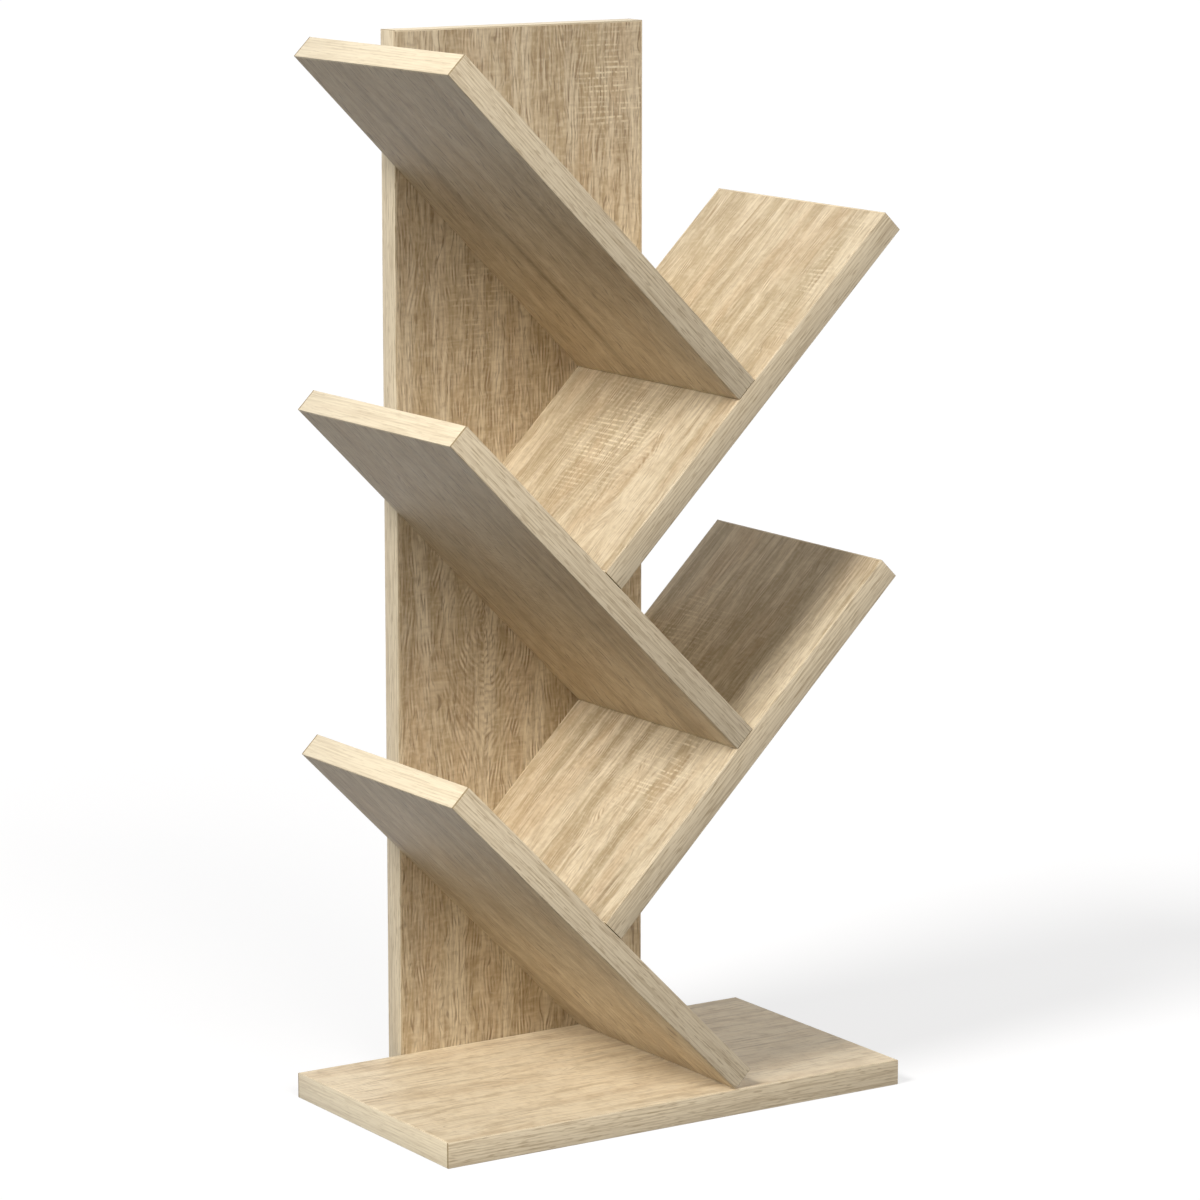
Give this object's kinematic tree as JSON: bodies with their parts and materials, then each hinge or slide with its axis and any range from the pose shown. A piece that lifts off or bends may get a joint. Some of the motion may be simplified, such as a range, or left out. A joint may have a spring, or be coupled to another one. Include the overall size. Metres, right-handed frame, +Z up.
{
  "type": "tree shaped bookcase",
  "caption": "Small tree shaped bookcase: shelves lean left and right in turn, each standing on the one below, in front of a tall back board on a base board, in light oak laminate.",
  "frame": {"origin": "on the floor, under the middle of the whole piece's width and depth", "axes": "+Z up, +Y towards the back board, +X to the right as seen from the front, so the open front faces -Y"},
  "size_m": [0.3306, 0.196, 0.659],
  "materials": {
    "oak_laminate": "matt melamine facing on chipboard, printed as light sawn oak",
    "oak_banding": "satin edge banding, printed as light oak with fine straight grain",
    "zinc_steel": "bright zinc plated",
    "beech_dowel": "raw fluted beech"
  },
  "bodies": {
    "root": {"base_board": "oak_laminate", "base_front_band": "oak_banding", "base_rear_band": "oak_banding", "base_left_band": "oak_banding", "base_right_band": "oak_banding", "back_board": "oak_laminate", "back_left_band": "oak_banding", "back_right_band": "oak_banding", "back_bottom_band": "oak_banding", "back_top_band": "oak_banding", "left_bottom_shelf": "oak_laminate", "left_bottom_shelf_front_band": "oak_banding", "left_bottom_shelf_rear_band": "oak_banding", "left_bottom_shelf_upper_band": "oak_banding", "left_bottom_shelf_lower_band": "oak_banding", "right_lower_shelf": "oak_laminate", "right_lower_shelf_front_band": "oak_banding", "right_lower_shelf_rear_band": "oak_banding", "right_lower_shelf_upper_band": "oak_banding", "right_lower_shelf_lower_band": "oak_banding", "left_middle_shelf": "oak_laminate", "left_middle_shelf_front_band": "oak_banding", "left_middle_shelf_rear_band": "oak_banding", "left_middle_shelf_upper_band": "oak_banding", "left_middle_shelf_lower_band": "oak_banding", "right_upper_shelf": "oak_laminate", "right_upper_shelf_front_band": "oak_banding", "right_upper_shelf_rear_band": "oak_banding", "right_upper_shelf_upper_band": "oak_banding", "right_upper_shelf_lower_band": "oak_banding", "left_top_shelf": "oak_laminate", "left_top_shelf_front_band": "oak_banding", "left_top_shelf_rear_band": "oak_banding", "left_top_shelf_upper_band": "oak_banding", "left_top_shelf_lower_band": "oak_banding", "base_left_screw": "zinc_steel", "base_right_screw": "zinc_steel", "left_bottom_shelf_lower_screw": "zinc_steel", "left_bottom_shelf_upper_screw": "zinc_steel", "right_lower_shelf_lower_screw": "zinc_steel", "right_lower_shelf_upper_screw": "zinc_steel", "left_middle_shelf_lower_screw": "zinc_steel", "left_middle_shelf_upper_screw": "zinc_steel", "right_upper_shelf_lower_screw": "zinc_steel", "right_upper_shelf_upper_screw": "zinc_steel", "left_top_shelf_lower_screw": "zinc_steel", "left_top_shelf_upper_screw": "zinc_steel", "base_left_dowel": "beech_dowel", "base_right_dowel": "beech_dowel", "right_lower_shelf_front_dowel": "beech_dowel", "right_lower_shelf_rear_dowel": "beech_dowel", "left_middle_shelf_front_dowel": "beech_dowel", "left_middle_shelf_rear_dowel": "beech_dowel", "right_upper_shelf_front_dowel": "beech_dowel", "right_upper_shelf_rear_dowel": "beech_dowel", "left_top_shelf_front_dowel": "beech_dowel", "left_top_shelf_rear_dowel": "beech_dowel"}
  },
  "joints": []
}
